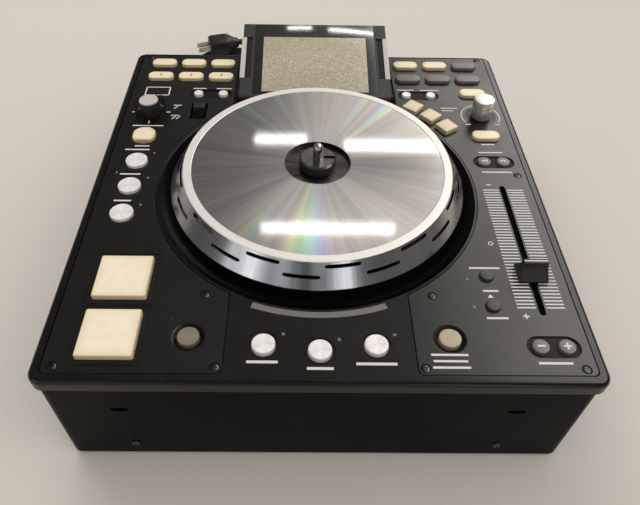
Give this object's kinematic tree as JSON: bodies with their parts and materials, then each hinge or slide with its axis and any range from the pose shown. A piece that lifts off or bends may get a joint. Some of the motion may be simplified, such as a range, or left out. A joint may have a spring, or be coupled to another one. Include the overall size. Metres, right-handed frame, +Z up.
{
  "type": "dj controller",
  "caption": "Tabletop turntable-style dj controller: slotted metal platter on a motor, tilting display, pads, keys, knobs, pitch fader and a coiled power lead.",
  "frame": {"origin": "on the surface the feet stand on, under the middle of the box round the case and its display (the power lead is left out)", "axes": "+X to the right seen from the front, +Y to the back where the display and sockets are, +Z up along the platter spindle"},
  "size_m": [0.3574, 0.5615, 0.1455],
  "materials": {
    "gloss_black": "glossy black moulding",
    "panel_black": "glossy black overlay",
    "case_black": "satin black moulding",
    "ivory": "satin translucent ivory, slightly yellowed",
    "grey_cap": "satin grey",
    "platter_metal": "turned and polished",
    "spindle_steel": "polished",
    "dark_frame": "satin dark grey",
    "screen": "grey-green display behind a clear lens with a black border",
    "silver_disc": "spun, bright",
    "turned_grey": "turned, bright",
    "lamp": "smoked diffuser",
    "motor": "plated",
    "board_green": "solder mask",
    "socket_metal": "plated sockets on a painted plate",
    "screw_black": "black zinc",
    "rubber": "matte",
    "cord": "satin black sheath",
    "knob_black": "satin black with a light grey top"
  },
  "bodies": {
    "case": {"case_screws": "screw_black", "circuit_boards": "board_green", "control_panels": "panel_black", "cord_coil": "cord", "light_bar": "lamp", "lower_case": "case_black", "platter_motor": "motor", "power_cord": "cord", "power_plug": "cord", "rear_sockets": "socket_metal", "rubber_feet": "rubber", "strain_relief": "cord", "top_case": "gloss_black"},
    "platter_assembly": {"platter": "platter_metal", "drive_spindle": "spindle_steel"},
    "display": {"display_frame": "dark_frame", "display_screen": "screen"},
    "left_memory_button_1": {"left_memory_button_1": "silver_disc"},
    "left_memory_button_2": {"left_memory_button_2": "silver_disc"},
    "right_memory_button_1": {"right_memory_button_1": "silver_disc"},
    "right_memory_button_2": {"right_memory_button_2": "silver_disc"},
    "echo_button": {"echo_button": "silver_disc"},
    "flanger_button": {"flanger_button": "silver_disc"},
    "filter_button": {"filter_button": "silver_disc"},
    "brake_button": {"brake_button": "silver_disc"},
    "dump_button": {"dump_button": "silver_disc"},
    "reverse_button": {"reverse_button": "silver_disc"},
    "mix_button": {"mix_button": "knob_black"},
    "source_button": {"source_button": "knob_black"},
    "key_adjust_button": {"key_adjust_button": "knob_black"},
    "range_button": {"range_button": "knob_black"},
    "search_back_button": {"search_back_button": "knob_black"},
    "search_forward_button": {"search_forward_button": "knob_black"},
    "bend_down_button": {"bend_down_button": "knob_black"},
    "bend_up_button": {"bend_up_button": "knob_black"},
    "left_mode_pad_3": {"left_mode_pad_3": "ivory"},
    "left_lower_pad_3": {"left_lower_pad_3": "ivory"},
    "left_mode_pad_2": {"left_mode_pad_2": "ivory"},
    "left_lower_pad_2": {"left_lower_pad_2": "ivory"},
    "left_mode_pad_1": {"left_mode_pad_1": "ivory"},
    "left_lower_pad_1": {"left_lower_pad_1": "ivory"},
    "right_mode_pad_1": {"right_mode_pad_1": "ivory"},
    "right_lower_pad_1": {"right_lower_pad_1": "grey_cap"},
    "right_mode_pad_2": {"right_mode_pad_2": "ivory"},
    "right_lower_pad_2": {"right_lower_pad_2": "grey_cap"},
    "right_mode_pad_3": {"right_mode_pad_3": "grey_cap"},
    "right_lower_pad_3": {"right_lower_pad_3": "grey_cap"},
    "playlist_pad": {"playlist_pad": "ivory"},
    "back_pad": {"back_pad": "ivory"},
    "cue_key": {"cue_key": "ivory"},
    "play_key": {"play_key": "ivory"},
    "arc_key_1": {"arc_key_1": "ivory"},
    "arc_key_2": {"arc_key_2": "ivory"},
    "arc_key_3": {"arc_key_3": "ivory"},
    "tap_key": {"tap_key": "ivory"},
    "tempo_knob": {"tempo_knob": "knob_black"},
    "select_knob": {"select_knob": "turned_grey"},
    "lever_switch": {"lever_switch": "knob_black"},
    "pitch_fader": {"pitch_fader": "knob_black"},
    "power_switch": {"power_switch": "knob_black"}
  },
  "joints": [
    {"name": "platter_spin", "type": "hinge", "parent": "case", "child": "platter_assembly", "pos_m": [0, -0.0173, 0.12], "axis": [0, 0, 1], "continuous": true},
    {"name": "display_tilt", "type": "hinge", "parent": "case", "child": "display", "pos_m": [0, 0.1042, 0.1059], "axis": [1, 0, 0], "range_deg": [0, 30]},
    {"name": "left_memory_1_press", "type": "slide", "parent": "case", "child": "left_memory_button_1", "axis": [0, 0, 1], "range_m": [-0.0008, 0], "stiffness_N_per_m": 400},
    {"name": "left_memory_2_press", "type": "slide", "parent": "case", "child": "left_memory_button_2", "axis": [0, 0, 1], "range_m": [-0.0008, 0], "stiffness_N_per_m": 400},
    {"name": "right_memory_1_press", "type": "slide", "parent": "case", "child": "right_memory_button_1", "axis": [0, 0, 1], "range_m": [-0.0008, 0], "stiffness_N_per_m": 400},
    {"name": "right_memory_2_press", "type": "slide", "parent": "case", "child": "right_memory_button_2", "axis": [0, 0, 1], "range_m": [-0.0008, 0], "stiffness_N_per_m": 400},
    {"name": "echo_press", "type": "slide", "parent": "case", "child": "echo_button", "axis": [0, 0, 1], "range_m": [-0.0008, 0], "stiffness_N_per_m": 400},
    {"name": "flanger_press", "type": "slide", "parent": "case", "child": "flanger_button", "axis": [0, 0, 1], "range_m": [-0.0008, 0], "stiffness_N_per_m": 400},
    {"name": "filter_press", "type": "slide", "parent": "case", "child": "filter_button", "axis": [0, 0, 1], "range_m": [-0.0008, 0], "stiffness_N_per_m": 400},
    {"name": "brake_press", "type": "slide", "parent": "case", "child": "brake_button", "axis": [0, 0, 1], "range_m": [-0.0008, 0], "stiffness_N_per_m": 400},
    {"name": "dump_press", "type": "slide", "parent": "case", "child": "dump_button", "axis": [0, 0, 1], "range_m": [-0.0008, 0], "stiffness_N_per_m": 400},
    {"name": "reverse_press", "type": "slide", "parent": "case", "child": "reverse_button", "axis": [0, 0, 1], "range_m": [-0.0008, 0], "stiffness_N_per_m": 400},
    {"name": "mix_press", "type": "slide", "parent": "case", "child": "mix_button", "axis": [0, 0, 1], "range_m": [-0.0008, 0], "stiffness_N_per_m": 400},
    {"name": "source_press", "type": "slide", "parent": "case", "child": "source_button", "axis": [0, 0, 1], "range_m": [-0.0008, 0], "stiffness_N_per_m": 400},
    {"name": "key_adjust_press", "type": "slide", "parent": "case", "child": "key_adjust_button", "axis": [0, 0, 1], "range_m": [-0.0008, 0], "stiffness_N_per_m": 400},
    {"name": "range_press", "type": "slide", "parent": "case", "child": "range_button", "axis": [0, 0, 1], "range_m": [-0.0008, 0], "stiffness_N_per_m": 400},
    {"name": "search_back_press", "type": "slide", "parent": "case", "child": "search_back_button", "axis": [0, 0, 1], "range_m": [-0.0008, 0], "stiffness_N_per_m": 400},
    {"name": "search_forward_press", "type": "slide", "parent": "case", "child": "search_forward_button", "axis": [0, 0, 1], "range_m": [-0.0008, 0], "stiffness_N_per_m": 400},
    {"name": "bend_down_press", "type": "slide", "parent": "case", "child": "bend_down_button", "axis": [0, 0, 1], "range_m": [-0.0008, 0], "stiffness_N_per_m": 400},
    {"name": "bend_up_press", "type": "slide", "parent": "case", "child": "bend_up_button", "axis": [0, 0, 1], "range_m": [-0.0008, 0], "stiffness_N_per_m": 400},
    {"name": "left_mode_pad_3_press", "type": "slide", "parent": "case", "child": "left_mode_pad_3", "axis": [0, 0, 1], "range_m": [-0.0008, 0], "stiffness_N_per_m": 400},
    {"name": "left_lower_pad_3_press", "type": "slide", "parent": "case", "child": "left_lower_pad_3", "axis": [0, 0, 1], "range_m": [-0.0008, 0], "stiffness_N_per_m": 400},
    {"name": "left_mode_pad_2_press", "type": "slide", "parent": "case", "child": "left_mode_pad_2", "axis": [0, 0, 1], "range_m": [-0.0008, 0], "stiffness_N_per_m": 400},
    {"name": "left_lower_pad_2_press", "type": "slide", "parent": "case", "child": "left_lower_pad_2", "axis": [0, 0, 1], "range_m": [-0.0008, 0], "stiffness_N_per_m": 400},
    {"name": "left_mode_pad_1_press", "type": "slide", "parent": "case", "child": "left_mode_pad_1", "axis": [0, 0, 1], "range_m": [-0.0008, 0], "stiffness_N_per_m": 400},
    {"name": "left_lower_pad_1_press", "type": "slide", "parent": "case", "child": "left_lower_pad_1", "axis": [0, 0, 1], "range_m": [-0.0008, 0], "stiffness_N_per_m": 400},
    {"name": "right_mode_pad_1_press", "type": "slide", "parent": "case", "child": "right_mode_pad_1", "axis": [0, 0, 1], "range_m": [-0.0008, 0], "stiffness_N_per_m": 400},
    {"name": "right_lower_pad_1_press", "type": "slide", "parent": "case", "child": "right_lower_pad_1", "axis": [0, 0, 1], "range_m": [-0.0008, 0], "stiffness_N_per_m": 400},
    {"name": "right_mode_pad_2_press", "type": "slide", "parent": "case", "child": "right_mode_pad_2", "axis": [0, 0, 1], "range_m": [-0.0008, 0], "stiffness_N_per_m": 400},
    {"name": "right_lower_pad_2_press", "type": "slide", "parent": "case", "child": "right_lower_pad_2", "axis": [0, 0, 1], "range_m": [-0.0008, 0], "stiffness_N_per_m": 400},
    {"name": "right_mode_pad_3_press", "type": "slide", "parent": "case", "child": "right_mode_pad_3", "axis": [0, 0, 1], "range_m": [-0.0008, 0], "stiffness_N_per_m": 400},
    {"name": "right_lower_pad_3_press", "type": "slide", "parent": "case", "child": "right_lower_pad_3", "axis": [0, 0, 1], "range_m": [-0.0008, 0], "stiffness_N_per_m": 400},
    {"name": "playlist_pad_press", "type": "slide", "parent": "case", "child": "playlist_pad", "axis": [0, 0, 1], "range_m": [-0.0008, 0], "stiffness_N_per_m": 400},
    {"name": "back_pad_press", "type": "slide", "parent": "case", "child": "back_pad", "axis": [0, 0, 1], "range_m": [-0.0008, 0], "stiffness_N_per_m": 400},
    {"name": "cue_key_press", "type": "slide", "parent": "case", "child": "cue_key", "axis": [0, 0, 1], "range_m": [-0.0012, 0], "stiffness_N_per_m": 400},
    {"name": "play_key_press", "type": "slide", "parent": "case", "child": "play_key", "axis": [0, 0, 1], "range_m": [-0.0012, 0], "stiffness_N_per_m": 400},
    {"name": "arc_key_1_press", "type": "slide", "parent": "case", "child": "arc_key_1", "axis": [0, 0, 1], "range_m": [-0.0008, 0], "stiffness_N_per_m": 400},
    {"name": "arc_key_2_press", "type": "slide", "parent": "case", "child": "arc_key_2", "axis": [0, 0, 1], "range_m": [-0.0008, 0], "stiffness_N_per_m": 400},
    {"name": "arc_key_3_press", "type": "slide", "parent": "case", "child": "arc_key_3", "axis": [0, 0, 1], "range_m": [-0.0008, 0], "stiffness_N_per_m": 400},
    {"name": "tap_key_press", "type": "slide", "parent": "case", "child": "tap_key", "axis": [0, 0, 1], "range_m": [-0.0008, 0], "stiffness_N_per_m": 400},
    {"name": "tempo_turn", "type": "hinge", "parent": "case", "child": "tempo_knob", "pos_m": [-0.1485, 0.0789, 0.11], "axis": [0, 0, 1], "range_deg": [-140, 140]},
    {"name": "select_turn", "type": "hinge", "parent": "case", "child": "select_knob", "pos_m": [0.1499, 0.0789, 0.11], "axis": [0, 0, 1], "continuous": true},
    {"name": "lever_slide", "type": "slide", "parent": "case", "child": "lever_switch", "axis": [0, 1, 0], "range_m": [-0.009, 0]},
    {"name": "pitch_slide", "type": "slide", "parent": "case", "child": "pitch_fader", "axis": [0, 1, 0], "range_m": [-0.03, 0.088]},
    {"name": "power_press", "type": "slide", "parent": "case", "child": "power_switch", "axis": [0, 1, 0], "range_m": [-0.0025, 0]}
  ]
}
